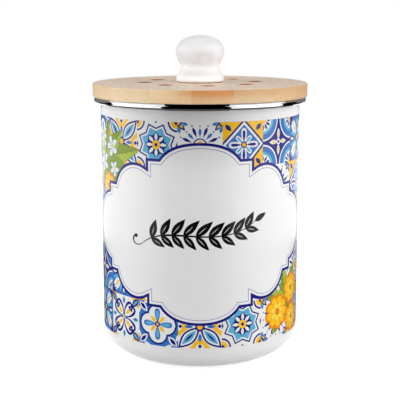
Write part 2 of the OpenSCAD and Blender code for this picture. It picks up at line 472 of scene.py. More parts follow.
# Painted shade and painted highlight: the dark card just under the lid's front stands in, in the rim's
# reflection, for the shade under the lid's overhang, and the two white cards that glow under the lid
# paint highlights into the rim.
UNDER_LID = BOARD_LOW - 0.15
LID_CARD_OUT = BOARD_R - 0.1
LID_CARD = circle(RIM_OUT - 1.6, LID_CARD_OUT, UNDER_LID)
card("card_lid_front", (-18, 15), circle(RIM_OUT - 3, LID_CARD_OUT, UNDER_LID))
card("card_lid_left", (-55, -18), LID_CARD, MIRRORED_WHITE)
card("card_lid_right", (15, 50), LID_CARD, MIRRORED_WHITE)

# ---- Pot and rim ----

POT_FACETS = 320
FOOT_W = 7.5        # width of the flat ring that the pot stands on
FOOT_SLOPE = 3      # width of the slope inside it
BASE_RISE = 1       # how far the middle of the base stands off the table
BEND_R = 0.5        # inside radius of the bend under the lip
LIP_INSET = 0.7     # how far the lip ends inside the rim's widest line
RIM_SHEET = 0.45
RIM_MOUTH_DEG = 15  # half of the gap in the rim's C-section
RIM_FLARE_DEG = 4   # how much further the gap opens inside


def make_pot():
    bend_z = BEAD_Z - WALL / 2 - BEND_R
    foot = POT_R - CORNER_R
    slope_out = foot - FOOT_W
    slope_in = slope_out - FOOT_SLOPE
    lip = BEAD_C + BEAD_R - LIP_INSET
    outside = [(0, BASE_RISE), (slope_in, BASE_RISE), (slope_out, 0)]
    outside += arc((foot, CORNER_R), CORNER_R, -90, 0, 36)
    outside += arc((POT_R + BEND_R, bend_z), BEND_R, 180, 90, 6)
    outside += [(lip, bend_z + BEND_R), (lip, bend_z + BEND_R + WALL)]
    inside = arc((POT_R + BEND_R, bend_z), BEND_R + WALL, 90, 180, 10)
    inside += arc((foot, CORNER_R), CORNER_R - WALL, 0, -90, 24)
    inside += [(slope_out, WALL), (slope_in, BASE_RISE + WALL), (0, BASE_RISE + WALL)]
    pot = lathe("enamel_pot", outside + inside, "pot", POT_FACETS)
    dress(pot, glaze("enamel", (0.86, 0.86, 0.86), specular=0.35), "enamel")
    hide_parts("pot_shell")


def make_rim():
    """A bright ring of sheet metal, rolled into a C that is open towards the pot."""
    bead = (BEAD_C, BEAD_Z)
    outer_end = 180 - RIM_MOUTH_DEG
    inner_end = outer_end - RIM_FLARE_DEG
    outline = arc(bead, BEAD_R, outer_end, -outer_end, 48)
    outline += arc(bead, BEAD_R - RIM_SHEET, -inner_end, inner_end, 48)
    rim = lathe("rim_bead", outline[::-1], "pot", POT_FACETS)
    dress(rim, metal("rim_steel", (0.78, 0.78, 0.78), 0.07, (900, 900, 900), 0.05), "rim_steel")
    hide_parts("rim_trim")


make_pot()
make_rim()

# ---- Print: drawing tools ----
# A shape is a list of points. The print is a list of (ink, shape), later ones over earlier ones,
# and the ink None is bare enamel.


def dot(x, y, r, n=16):
    return [polar(360 * i / n, r, x, y) for i in range(n)]


def dots(place, *layers):
    """Dots at one place, each (ink, radius, number of points), later ones on top."""
    for ink, r, n in layers:
        yield ink, dot(*place, r, n)


def star(x, y, outer, inner, points, turn_deg=0):
    return [polar(turn_deg + 180 * i / points, inner if i % 2 else outer, x, y)
            for i in range(2 * points)]


def lozenge(x, y, half_w, half_h):
    return [(x + half_w, y), (x, y + half_h), (x - half_w, y), (x, y - half_h)]


def turned(shape, angle_deg, x=0, y=0):
    """A shape turned about its origin and then moved to (x, y)."""
    c, s = math.cos(math.radians(angle_deg)), math.sin(math.radians(angle_deg))
    return [(x + along * c - out * s, y + along * s + out * c) for along, out in shape]


def two_sided(edge, x, y, angle_deg):
    """A shape that runs from (x, y) along the angle, with the edge, a list of (along, out), on
    either side of its middle line."""
    return turned(edge + [(along, -out) for along, out in edge[-2:0:-1]], angle_deg, x, y)


def leaf(x, y, angle_deg, length, width, belly=1.0, n=9):
    """A pointed leaf from (x, y). A belly above 1 puts its widest place towards the tip."""
    edge = [(i / n * length, width / 2 * math.sin(math.pi * (i / n) ** belly)) for i in range(n + 1)]
    return two_sided(edge, x, y, angle_deg)


def petal(x, y, angle_deg, length, width, n=12):
    """A petal with a narrow foot at (x, y) and a round end."""
    edge = []
    for i in range(n + 1):
        t = math.pi * i / n
        along = (1 - math.cos(t)) / 2
        edge.append((length * along, width / 2 * math.sin(t) ** 0.8 * (0.45 + 0.55 * along)))
    return two_sided(edge, x, y, angle_deg)


def stroke(points, widths):
    """A brush line through the points, whose width goes evenly through the given widths."""
    left, right = [], []
    last = len(points) - 1
    for i, (x, y) in enumerate(points):
        x0, y0 = points[max(i - 1, 0)]
        x1, y1 = points[min(i + 1, last)]
        run = math.hypot(x1 - x0, y1 - y0) or 1
        nx, ny = -(y1 - y0) / run, (x1 - x0) / run
        at = i / last * (len(widths) - 1)
        k = min(int(at), len(widths) - 2)
        half = (widths[k] + (widths[k + 1] - widths[k]) * (at - k)) / 2
        left.append((x + nx * half, y + ny * half))
        right.append((x - nx * half, y - ny * half))
    return left + right[::-1]


def taper(start, end, widths):
    """A straight brush line between two points."""
    middle = ((start[0] + end[0]) / 2, (start[1] + end[1]) / 2)
    return stroke([start, middle, end], widths)


def curve(p0, p1, p2, p3, n=14):
    """Points along a cubic Bezier curve."""
    out = []
    for i in range(n + 1):
        t = i / n
        w = ((1 - t) ** 3, 3 * t * (1 - t) ** 2, 3 * t * t * (1 - t), t ** 3)
        out.append(tuple(sum(c * p[k] for c, p in zip(w, (p0, p1, p2, p3))) for k in (0, 1)))
    return out


def inset(shape, distance):
    """The outline moved inwards, for a shape that runs counter-clockwise."""
    out = []
    n = len(shape)
    for i, (x, y) in enumerate(shape):
        ax, ay = shape[i - 1]
        bx, by = shape[(i + 1) % n]
        ux, uy = x - ax, y - ay
        vx, vy = bx - x, by - y
        lu, lv = math.hypot(ux, uy), math.hypot(vx, vy)
        n1, n2 = (-uy / lu, ux / lu), (-vy / lv, vx / lv)
        mx, my = n1[0] + n2[0], n1[1] + n2[1]
        scale = 2 * distance / max(mx * mx + my * my, 0.5)
        out.append((x + mx * scale, y + my * scale))
    return out


def clipped(shape, low, high):
    """The part of a shape that lies in a box."""
    for axis, limit, sign in ((0, low[0], 1), (0, high[0], -1), (1, low[1], 1), (1, high[1], -1)):
        out = []
        for i, p in enumerate(shape):
            q = shape[i - 1]
            dp, dq = sign * (p[axis] - limit), sign * (q[axis] - limit)
            if (dp >= 0) != (dq >= 0):
                t = dq / (dq - dp)
                cut = [q[k] + (p[k] - q[k]) * t for k in (0, 1)]
                cut[axis] = limit
                out.append(tuple(cut))
            if dp >= 0:
                out.append(p)
        shape = out
    return shape


def signed_area(shape):
    return sum(shape[i - 1][0] * y - x * shape[i - 1][1] for i, (x, y) in enumerate(shape)) / 2


def within(points, shape):
    """Which of the points lie in the shape."""
    shape = np.array(shape)
    near = np.flatnonzero(((points > shape.min(0)) & (points < shape.max(0))).all(1))
    x, y = points[near, 0, None], points[near, 1, None]
    x1, y1 = shape.T
    x0, y0 = np.roll(shape, 1, 0).T
    rise = np.where(y1 == y0, 1, y1 - y0)
    crossed = ((y0 > y) != (y1 > y)) & (x < x0 + (y - y0) * (x1 - x0) / rise)
    return near[crossed.sum(1) % 2 == 1]


# ---- Print: eight traditional tiles, each drawn from -1 to 1 both ways ----

NAVY, BLUE, SKY, GOLD = "navy", "blue", "sky", "gold"
MIDDLE = (0, 0)
SQUARE = [(-1, -1), (1, -1), (1, 1), (-1, 1)]
QUARTERS = (0, 90, 180, 270)
CORNERS = (45, 135, 225, 315)
TILE_CORNER = math.sqrt(2)


def corner(angle_deg):
    return polar(angle_deg, TILE_CORNER)


def star_tile():
    """An eight-pointed star of two squares, with a gold heart."""
    yield NAVY, star(0, 0, 0.97, 0.74, 8, 22.5)
    yield None, star(0, 0, 0.88, 0.67, 8, 22.5)
    yield SKY, star(0, 0, 0.78, 0.595, 8, 22.5)
    yield NAVY, star(0, 0, 0.56, 0.43, 8)
    for a in range(0, 360, 45):
        yield None, leaf(*polar(a, 0.16), a, 0.36, 0.15)
    yield from dots(MIDDLE, (GOLD, 0.2, 16), (NAVY, 0.08, 10))
    for a in CORNERS:
        yield from dots(corner(a), (NAVY, 0.44, 28), (None, 0.36, 28), (GOLD, 0.3, 24), (NAVY, 0.14, 16))
    for a in QUARTERS:
        yield NAVY, lozenge(*polar(a, 0.99), 0.07, 0.16 if a % 180 == 0 else 0.07)


def wheel_tile():
    """Quarter wheels at the corners and a small cross flower between them."""
    yield NAVY, SQUARE
    for a in CORNERS:
        yield from dots(corner(a), (None, 0.93, 48), (BLUE, 0.86, 48), (SKY, 0.62, 40), (None, 0.5, 36))
        for b in range(0, 360, 30):
            yield NAVY, leaf(*polar(b, 0.18, *corner(a)), b, 0.3, 0.12)
        yield GOLD, dot(*corner(a), 0.17, 20)
    for a in QUARTERS:
        yield None, leaf(*polar(a, 0.1), a, 0.5, 0.2)
        yield GOLD, leaf(*polar(a, 0.2), a, 0.28, 0.09)
    yield from dots(MIDDLE, (None, 0.14, 16), (NAVY, 0.07, 10))


def quatrefoil_tile():
    """A white quatrefoil with sky leaves on a blue ground."""
    yield BLUE, SQUARE
    for a in QUARTERS:
        yield NAVY, dot(*polar(a, 0.42), 0.52, 32)
    for a in QUARTERS:
        yield None, dot(*polar(a, 0.42), 0.44, 32)
    yield None, dot(0, 0, 0.56)
    for a in QUARTERS:
        yield BLUE, petal(*polar(a, 0.12), a, 0.6, 0.34)
        yield SKY, petal(*polar(a, 0.2), a, 0.42, 0.2)
    for a in CORNERS:
        yield GOLD, leaf(*polar(a, 0.1), a, 0.4, 0.17)
        yield None, leaf(*polar(a, 0.74), a, 0.6, 0.3)
        yield NAVY, leaf(*polar(a, 0.84), a, 0.44, 0.16)
        for side in (-1, 1):
            yield None, leaf(*polar(a + side * 6, 1.16), a + side * 112, 0.42, 0.15)
    yield from dots(MIDDLE, (NAVY, 0.13, 16), (GOLD, 0.065, 10))


def sunburst_tile():
    """Sixteen rays round a gold sun."""
    for k in range(16):
        a = 22.5 * k
        yield (NAVY if k % 2 else BLUE), leaf(*polar(a, 0.36), a, 0.5 if k % 2 else 0.4, 0.13, 1.4)
        yield NAVY, dot(*polar(a, 0.92 if k % 2 else 0.84), 0.035, 8)
    yield from dots(MIDDLE, (NAVY, 0.32, 28), (None, 0.27, 28))
    yield GOLD, star(0, 0, 0.25, 0.16, 8)
    yield NAVY, dot(0, 0, 0.07, 10)
    for a in CORNERS:
        for b in (-32, 0, 32):
            yield (BLUE if b else NAVY), leaf(*corner(a), a + 180 + b, 0.5, 0.2)
            yield (SKY if b else GOLD), leaf(*polar(a, 1.33), a + 180 + b, 0.3, 0.09)
        yield from dots(corner(a), (NAVY, 0.2, 16), (GOLD, 0.13, 16))


def tulip_tile():
    """Four white tulips on blue that grow out to the corners."""
    yield BLUE, SQUARE
    for a in CORNERS:
        yield NAVY, dot(*corner(a), 0.3, 24)
        for side in (-1, 1):
            yield SKY, leaf(*polar(a, 0.2), a + side * 34, 0.78, 0.2)
            yield None, leaf(*polar(a, 0.34), a + side * 13, 0.74, 0.26)
        yield None, leaf(*polar(a, 0.2), a, 0.92, 0.26)
        yield GOLD, leaf(*polar(a, 0.42), a, 0.56, 0.13)
    for a in QUARTERS:
        yield NAVY, leaf(*polar(a, 0.98), a + 180, 0.56, 0.3)
        yield None, leaf(*polar(a, 0.92), a + 180, 0.38, 0.14)
    yield NAVY, dot(0, 0, 0.25, 20)
    yield GOLD, star(0, 0, 0.19, 0.09, 4, 45)


def vesica_tile():
    """Four leaves to the corners, as where great circles cross, with gold lozenges between."""
    for a in QUARTERS:
        yield GOLD, turned([(1, -0.5), (1, 0.5), (0.46, 0)], a)
    for a in CORNERS:
        yield NAVY, leaf(0, 0, a, TILE_CORNER, 0.62)
        yield None, leaf(*polar(a, 0.14), a, TILE_CORNER - 0.28, 0.46)
        yield SKY, leaf(*polar(a, 0.24), a, TILE_CORNER - 0.48, 0.3)
        yield NAVY, leaf(*polar(a, 0.4), a, TILE_CORNER - 0.8, 0.09)
    for a in QUARTERS:
        yield None, dot(*polar(a, 1.0), 0.2, 18)
        yield NAVY, lozenge(*polar(a, 0.9), 0.1, 0.1)
        yield BLUE, leaf(*polar(a, 0.3), a, 0.42, 0.16)
    yield NAVY, star(0, 0, 0.3, 0.2, 8, 22.5)
    yield GOLD, dot(0, 0, 0.13)


def lozenge_tile():
    """A lozenge frame with gold corners round a flower of eight petals."""
    yield GOLD, SQUARE
    yield NAVY, lozenge(0, 0, 1.12, 1.12)
    yield None, lozenge(0, 0, 1.0, 1.0)
    yield BLUE, lozenge(0, 0, 0.86, 0.86)
    for a in QUARTERS:
        yield None, petal(0, 0, a, 0.72, 0.36)
        yield NAVY, petal(*polar(a, 0.16), a, 0.46, 0.17)
    for a in CORNERS:
        yield None, petal(0, 0, a, 0.52, 0.26)
        yield SKY, petal(*polar(a, 0.12), a, 0.34, 0.13)
        yield NAVY, leaf(*polar(a, 0.86), a, 0.4, 0.2)
    yield from dots(MIDDLE, (NAVY, 0.15, 16), (GOLD, 0.09, 12))


def scroll_tile():
    """Four pairs of scrolls that spring from a small rosette, between gold corners."""
    for a in CORNERS:
        yield GOLD, turned([(1, 0.52), (1, 1), (0.52, 1)], a - 45)
    for a in QUARTERS:
        for side in (-1, 1):
            path = curve((0.12, 0.02 * side), (0.5, 0.02 * side), (0.98, 0.42 * side),
                         (0.58, 0.56 * side))
            curl = curve((0.58, 0.56 * side), (0.42, 0.6 * side), (0.34, 0.4 * side),
                         (0.5, 0.36 * side), 7)
            yield NAVY, turned(stroke(path + curl[1:], (0.03, 0.13, 0.1, 0.05)), a)
            yield NAVY, turned(dot(0.51, 0.39 * side, 0.07, 10), a)
        yield SKY, turned(leaf(0.6, 0, 0, 0.36, 0.2), a)
        yield NAVY, turned(leaf(0.68, 0, 0, 0.2, 0.07), a)
    for a in CORNERS:
        yield GOLD, leaf(*polar(a, 0.2), a, 0.4, 0.17)
        yield NAVY, leaf(*polar(a, 0.8), a, 0.6, 0.3)
        yield SKY, leaf(*polar(a, 0.9), a, 0.4, 0.13)
    for a in QUARTERS:
        yield BLUE, petal(0, 0, a, 0.26, 0.2)
    yield GOLD, dot(0, 0, 0.08, 12)


TILES = (star_tile, wheel_tile, quatrefoil_tile, sunburst_tile,
         tulip_tile, vesica_tile, lozenge_tile, scroll_tile)
TILES_ROUND = 15
TILES_UP = 5
BAND_LOW = 20.4
BAND_HIGH = 191.0
TILE_W = math.tau * POT_R / TILES_ROUND
TILE_H = (BAND_HIGH - BAND_LOW) / TILES_UP


def tile_shapes(row, col):
    """One tile's shapes, on the band."""
    mid_u = (col - (TILES_ROUND - 1) / 2) * TILE_W
    mid_v = BAND_LOW + (row + 0.5) * TILE_H
    for ink, shape in TILES[(3 * col + 5 * row + row // 2) % len(TILES)]():
        yield ink, [(mid_u + x * TILE_W / 2, mid_v + y * TILE_H / 2) for x, y in shape]


# ---- Print: label, blossoms and sprig ----

LEAF_GREEN, LEAF_SHADE, LEAF_LINE = "leaf_green", "leaf_shade", "leaf_line"
PETAL_LIGHT, PETAL_DEEP, PETAL_EDGE = "petal_light", "petal_deep", "petal_edge"
LILAC, BLACK = "lilac", "black"
LABEL_HALF_W = 109.0
LABEL_HALF_H = 69.0
LABEL_MID = 107.1
LABEL_LINES = ((None, 2.1), (LILAC, 3.9), (None, 4.4))  # (ink, distance inside the outline)
VEIN_SPLAY_DEG = math.degrees(0.75)
SPRIG_MID = LABEL_MID + 1.5
SPRIG_START = (-45, -9)
SPRIG_PAIRS = 9
POSIES = ((80, 47, 1), (-168, 62, -1))
SPRAYS = ((-90, 160, 1), (190, 150, -1))


def label_outline():
    """A plaque whose sides go in lobes and steps, counter-clockwise."""
    dome = curve((0, LABEL_HALF_H), (14, LABEL_HALF_H), (25, 65), (31, 56.5), 12)
    shoulder = curve((42, 49.5), (52, 56), (69, 52), (75, 35), 12)
    side = curve((85, 28), (98, 25), (LABEL_HALF_W, 14), (LABEL_HALF_W, 0), 12)
    quarter = (dome + [(42, 56.5)] + shoulder + [(85, 35)] + side)[::-1]
    left_top = [(-x, y) for x, y in quarter[::-1]][1:]
    upper = quarter + left_top
    lower = [(x, -y) for x, y in upper[::-1]][1:-1]
    return [(x, y + LABEL_MID) for x, y in upper + lower]


def veined_leaf(x, y, angle_deg, length, width):
    """A two-toned leaf with a midrib and side veins."""
    belly, n = 0.85, 14
    yield LEAF_LINE, leaf(x, y, angle_deg, length, width + 0.5, belly, n)
    whole = leaf(x, y, angle_deg, length * 0.985, width, belly, n)
    yield LEAF_GREEN, whole
    yield LEAF_SHADE, whole[: len(whole) // 2 + 1]
    yield LEAF_LINE, taper((x, y), polar(angle_deg, length, x, y), (0.7, 0.1))
    for k in range(1, 6):
        t = 0.14 + 0.13 * k
        foot = polar(angle_deg, t * length, x, y)
        reach = 0.567 * width * math.sin(math.pi * t ** belly)
        for side in (-1, 1):
            end = polar(angle_deg + side * VEIN_SPLAY_DEG, reach, *foot)
            yield LEAF_LINE, taper(foot, end, (0.35, 0.08))


def blossom(x, y, r, turn_deg):
    """A full blossom: three rings of broad petals, each smaller, about a seeded heart."""
    rings = ((9, 1.0, PETAL_DEEP, 0.3, 0), (9, 0.86, GOLD, 0.0, 0), (7, 0.56, PETAL_LIGHT, 0.25, 0.5))
    for count, size, ink, line, shift in rings:
        for k in range(count):
            a = turn_deg + 360 * (k + shift) / count
            yield PETAL_EDGE, petal(x, y, a, r * size + line, r * size * 0.76 + line)
            yield ink, petal(x, y, a, r * size, r * size * 0.7)
    yield PETAL_DEEP, dot(x, y, 0.2 * r, 18)
    for a in range(0, 360, 45):
        yield LEAF_LINE, dot(*polar(a, 0.12 * r, x, y), 0.03 * r, 6)


def white_flower(x, y, r, turn_deg):
    """A small five-petalled flower, bare enamel with a fine line round it."""
    turns = [turn_deg + 72 * k for k in range(5)]
    for a in turns:
        yield BLUE, petal(x, y, a, r + 0.35, r * 0.78)
    for a in turns:
        yield None, petal(x, y, a, r, r * 0.66)
        yield SKY, leaf(x, y, a, 0.7 * r, 0.1 * r)
    yield GOLD, dot(x, y, 0.2 * r, 12)


def leaf_fan(x, y, side, leaves):
    """Leaves from one point, each as (angle, length, width) for the right side."""
    for angle, length, width in leaves:
        yield from veined_leaf(x, y, 90 - side * (90 - angle), length, width)


def posy(x, y, side):
    """A bunch of three blossoms among leaves, with a small white flower on the other side."""
    leaves = ((62, 33, 13), (104, 34, 13), (20, 30, 12), (156, 31, 13), (232, 30, 12), (298, 30, 12))
    yield from leaf_fan(x, y, side, leaves)
    yield from white_flower(x - side * 14, y + 16, 6.5, 20)
    yield from blossom(x + side * 9, y + 9, 12.5, 10)
    yield from blossom(x - side * 12, y - 6, 14, 35)
    yield from blossom(x + side * 11, y - 15, 12, 22)


def leafy_spray(x, y, side):
    """A fan of leaves to the given side, with small white flowers and one blossom."""
    leaves = ((12, 44, 15), (-18, 40, 14), (42, 34, 13), (-48, 38, 14), (-82, 36, 14),
              (80, 30, 12), (240, 30, 12), (160, 28, 12))
    yield from leaf_fan(x, y, side, leaves)
    yield from blossom(x + side * 4, y - 22, 10.5, 12)
    for dx, dy, r in ((10, 9, 8), (-7, 13, 7), (-6, -4, 8.5), (13, -8, 6)):
        yield from white_flower(x + side * dx, y + dy, r, 20 + 9 * dx)


def sprig():
    """A leafy brush-drawn sprig for the label's middle."""
    stem = [(x, y + SPRIG_MID) for x, y in curve(SPRIG_START, (-22, 9), (14, -14), (44, 8), 40)]
    yield BLACK, stroke(stem, (0.5, 1.5, 1.3, 0.9, 0.5))
    for k in range(SPRIG_PAIRS):
        at = 4 + k * 4
        x, y = stem[at]
        (x0, y0), (x1, y1) = stem[at - 1], stem[at + 1]
        slope = math.degrees(math.atan2(y1 - y0, x1 - x0))
        length = 17.5 - 0.7 * abs(k - 3.5)
        for side, scale in ((1, 1.0), (-1, 0.86)):
            angle = slope + side * (52 - 2 * k)
            yield BLACK, leaf(x, y, angle, length * scale, 6.2 * scale, 0.8, 12)
            yield None, leaf(*polar(angle, 2.2, x, y), angle, length * scale * 0.5, 0.4)
    x, y = stem[-1]
    yield BLACK, leaf(x - 1, y - 0.6, 28, 12, 4.6, 0.8, 12)
    curl = curve(SPRIG_START, (-52, -15), (-58, -7), (-52, -4), 14)
    yield BLACK, stroke([(x, y + SPRIG_MID) for x, y in curl], (0.5, 1.1, 1.5))
    yield BLACK, dot(-51.6, LABEL_MID - 2.9, 1.5, 14)


def over_the_tiles():
    """What is printed over the tiles: posies and sprays, then the label with its lines and sprig."""
    for u, v, side in POSIES:
        yield from posy(u, v, side)
    for u, v, side in SPRAYS:
        yield from leafy_spray(u, v, side)
    outline = label_outline()
    yield NAVY, outline
    for ink, distance in LABEL_LINES:
        yield ink, inset(outline, distance)
    yield from sprig()


# ---- Print: from shapes to thin inlays on the pot ----

INK_OUT = 0.03      # how far the ink stands off the enamel
INK_IN = 0.12       # how deep it goes into the enamel
STRIPS = 10         # upright strips to a tile, so that it follows the round wall
SPECK = 1e-3        # the smallest area of a shape that is drawn
SLIVER = 1e-5       # twice the smallest area of a triangle that is kept
MERGE = 1e-5        # points nearer than this become one
MERGE_DECIMALS = 5  # the same, as decimals


def covered(low, high, shape):
    """Whether a shape covers a whole cell, so that what lies under it can be left out."""
    if abs(signed_area(shape)) < TILE_W * TILE_H:
        return False
    grid = [(low[0] + (high[0] - low[0]) * i / 4, low[1] + (high[1] - low[1]) * j / 4)
            for i in range(5) for j in range(5)]
    return len(within(np.array(grid), shape)) == len(grid)


def cell_triangles(low, high, shapes):
    """Cuts one tile's cell into triangles along every outline and gives each to the ink on top.
    Upright cuts let the cell follow the round wall."""
    square = [low, (high[0], low[1]), high, (low[0], high[1])]
    drawn = [(None, square)]
    for ink, shape in shapes:
        kept = clipped(shape, low, high)
        if len(kept) > 2 and abs(signed_area(kept)) > SPECK:
            drawn.append((ink, kept))
    vertices, edges = [], []
    for _, shape in drawn:
        first = len(vertices)
        vertices += [Vector(p) for p in shape]
        edges += [(first + i, first + (i + 1) % len(shape)) for i in range(len(shape))]
    for i in range(1, STRIPS):
        u = low[0] + (high[0] - low[0]) * i / STRIPS
        edges.append((len(vertices), len(vertices) + 1))
        vertices += [Vector((u, low[1])), Vector((u, high[1]))]
    points, _, found, _, _, _ = delaunay_2d_cdt(vertices, edges, [], 0, MERGE, False)
    triangles = np.array(points)[np.array(found)]
    middles = triangles.mean(1)
    top = np.zeros(len(triangles), int)
    for number, (_, shape) in enumerate(drawn):
        top[within(middles, shape)] = number
    for number, triangle in zip(top, triangles):
        ink = drawn[number][0]
        if ink:
            yield ink, triangle


def print_triangles():
    """The whole print's triangles on the band, by ink."""
    over = [(ink, shape, np.min(shape, 0), np.max(shape, 0)) for ink, shape in over_the_tiles()]
    groups = {}
    for row in range(TILES_UP):
        for col in range(TILES_ROUND):
            low = ((col - TILES_ROUND / 2) * TILE_W, BAND_LOW + row * TILE_H)
            high = (low[0] + TILE_W, low[1] + TILE_H)
            shapes = list(tile_shapes(row, col))
            shapes += [(ink, shape) for ink, shape, least, most in over
                       if (least < high).all() and (most > low).all()]
            covers = [i for i, (_, shape) in enumerate(shapes) if covered(low, high, shape)]
            if covers:
                shapes = shapes[covers[-1]:]
            for ink, triangle in cell_triangles(low, high, shapes):
                groups.setdefault(ink, []).append(triangle)
    return groups


def welded(corners):
    """The points and the counter-clockwise triangles that all the triangles' corners make."""
    flat = np.round(np.array(corners).reshape(-1, 2), MERGE_DECIMALS)
    points, triangles = np.unique(flat, axis=0, return_inverse=True)
    triangles = triangles.reshape(-1, 3)
    a, b, c = (points[triangles[:, k]] for k in range(3))
    area = (b[:, 0] - a[:, 0]) * (c[:, 1] - a[:, 1]) - (b[:, 1] - a[:, 1]) * (c[:, 0] - a[:, 0])
    triangles[area < 0] = triangles[area < 0][:, ::-1]
    triangles = triangles[np.abs(area) > SLIVER]
    used, triangles = np.unique(triangles, return_inverse=True)
    return points[used], triangles.reshape(-1, 3)


def shade_as_wall(mesh, angles, count):
    """Shades the first count faces outwards and the next count inwards as one round wall, and
    leaves the sides flat."""
    mesh.shade_smooth()
    ends = np.zeros(len(mesh.loops), int)
    mesh.loops.foreach_get("vertex_index", ends)
    turn = angles[ends % len(angles)]
    normals = np.zeros((len(ends), 3))
    normals[:, 0], normals[:, 1] = np.sin(turn), -np.cos(turn)
    normals[3 * count:6 * count] *= -1
    flat = np.zeros(len(mesh.polygons) * 3)
    mesh.polygons.foreach_get("normal", flat)
    normals[6 * count:] = np.repeat(flat.reshape(-1, 3)[2 * count:], 4, axis=0)
    mesh.normals_split_custom_set(normals.tolist())


def inlay(name, corners, body):
    """A closed sheet of ink from its triangles' corners, let into the enamel and barely proud."""
    points, triangles = welded(corners)
    count = len(points)
    angles = points[:, 0] / POT_R
    height = points[:, 1] * MM
    sheets = [np.stack([r * MM * np.sin(angles), -r * MM * np.cos(angles), height], 1)
              for r in (POT_R + INK_OUT, POT_R - INK_IN)]
    outer = triangles.tolist()
    edges = dict.fromkeys((tri[k], tri[(k + 1) % 3]) for tri in outer for k in range(3))
    sides = [(j, i, i + count, j + count) for i, j in edges if (j, i) not in edges]
    inner = (triangles[:, ::-1] + count).tolist()
    obj = new_object(name, np.concatenate(sheets).tolist(), outer + inner + sides, body)
    shade_as_wall(obj.data, angles, len(outer))
    return obj


INK_COLOURS = {
    NAVY: srgb(30, 32, 126),
    BLUE: srgb(57, 118, 192),
    SKY: srgb(96, 178, 216),
    GOLD: srgb(252, 194, 30),
    LEAF_GREEN: srgb(168, 188, 66),
    LEAF_SHADE: srgb(132, 156, 50),
    LEAF_LINE: srgb(74, 84, 30),
    PETAL_LIGHT: srgb(253, 213, 72),
    PETAL_DEEP: srgb(240, 142, 24),
    PETAL_EDGE: srgb(205, 112, 20),
    LILAC: srgb(150, 146, 190),
    BLACK: srgb(15, 15, 16),
}


def make_print():
    for ink, triangles in sorted(print_triangles().items()):
        piece = inlay(f"print_{ink}", triangles, "pot")
        dress(piece, glaze(f"print_{ink}", INK_COLOURS[ink], specular=0.25), "enamel")


make_print()

# ---- Lid ----

VENT_RING = 44
VENT_R = 5.5
VENT_STEP = math.radians(45)
VENT_START = math.radians(7.5)
HOLES_WITHIN = 70   # a radius between the vent holes and the board's edge
RAMP_SPAN = 10      # the distance from a vent hole's middle at which a ramp ends
RING_MM = 1.5       # width of a growth ring
RING_SWAY = 3.5     # how far the rings wander
RING_TAPER = 0.035  # how fast their radius grows along the grain
RING_AXES = [(-150, 520), (-20, 640), (-90, 560), (60, -420), (90, 600), (10, 480)]  # (x, z) by stave
TOP_TONE = srgb(222, 203, 186)
TOP_SHADES = (1.0, 0.985, 1.01, 0.99, 1.005, 0.98)
HOLE_TONE = srgb(205, 132, 66)
RING_STAIN = (0.72, 0.64, 0.56)
FIBRE_STAIN = (0.8, 0.72, 0.62)
FLECK_STAIN = (0.55, 0.42, 0.32)
STRAW = srgb(215, 190, 153)
HONEY = srgb(226, 202, 163)
SAND = srgb(230, 207, 170)
CREAM = srgb(226, 199, 160)
ORANGE = srgb(203, 129, 57)
ROSY = srgb(216, 182, 143)
TAN = srgb(201, 163, 118)
BISCUIT = srgb(214, 189, 155)
FAWN = srgb(213, 182, 141)
# By stave: the plain, high and low tones, and where the high tone starts and is full
EDGES = [(STRAW, STRAW, HONEY, -120, -60),
         (STRAW, STRAW, SAND, -80, -40),
         (CREAM, ORANGE, CREAM, -26, 10),
         (ROSY, ORANGE, ROSY, -40, -10),
         (TAN, TAN, BISCUIT, 0, 20),
         (TAN, TAN, FAWN, 0, 20)]


def growth_rings(look, number):
    """Rings of late wood round an axis far from the board, which sway a little along the grain."""
    wander = look.after(look.place((30, 5, 30), (number, number, 0)), "TexNoise", Scale=1.0, Detail=2)
    sway = look.after(wander.outputs["Color"], "VectorMath", operation="SCALE", Scale=RING_SWAY * MM)
    bent = look.after(look.place(), "VectorMath", operation="ADD")
    look.link(sway.outputs[0], bent.inputs[1])
    x_axis, z_axis = RING_AXES[number - 1]
    off_axis = look.after(bent.outputs[0], "Mapping", Location=(-x_axis * MM, 0, -z_axis * MM),
                          Scale=(1, RING_TAPER, 1))
    radius = look.length(off_axis.outputs[0])
    ring = look.maths("FRACT", look.times(radius, 1 / (RING_MM * MM)))
    return look.ramp(ring, [(0.0, 0.35), (0.12, 0.0), (0.62, 0.25), (0.94, 1.0), (1.0, 0.35)])


def off_hole(look, at, out):
    """0 at the edge of the nearest vent hole and 1 from about 1 mm outside it."""
    angle = look.maths("ARCTAN2", at["Y"], at["X"])
    turns = look.maths("DIVIDE", look.maths("SUBTRACT", angle, VENT_START), VENT_STEP)
    off = look.times(look.maths("SUBTRACT", turns, look.maths("ROUND", turns)), VENT_STEP)
    across = look.times(out, look.maths("SINE", off))
    inwards = look.times(out, look.maths("COSINE", off))
    along = look.maths("SUBTRACT", inwards, VENT_RING * MM)
    squares = look.maths("ADD", look.times(across, across), look.times(along, along))
    away = look.times(look.maths("SQRT", squares), 1 / (RAMP_SPAN * MM))
    return look.ramp(away, [((VENT_R + 0.2) / RAMP_SPAN, 0.0), ((VENT_R + 1.2) / RAMP_SPAN, 1.0)])


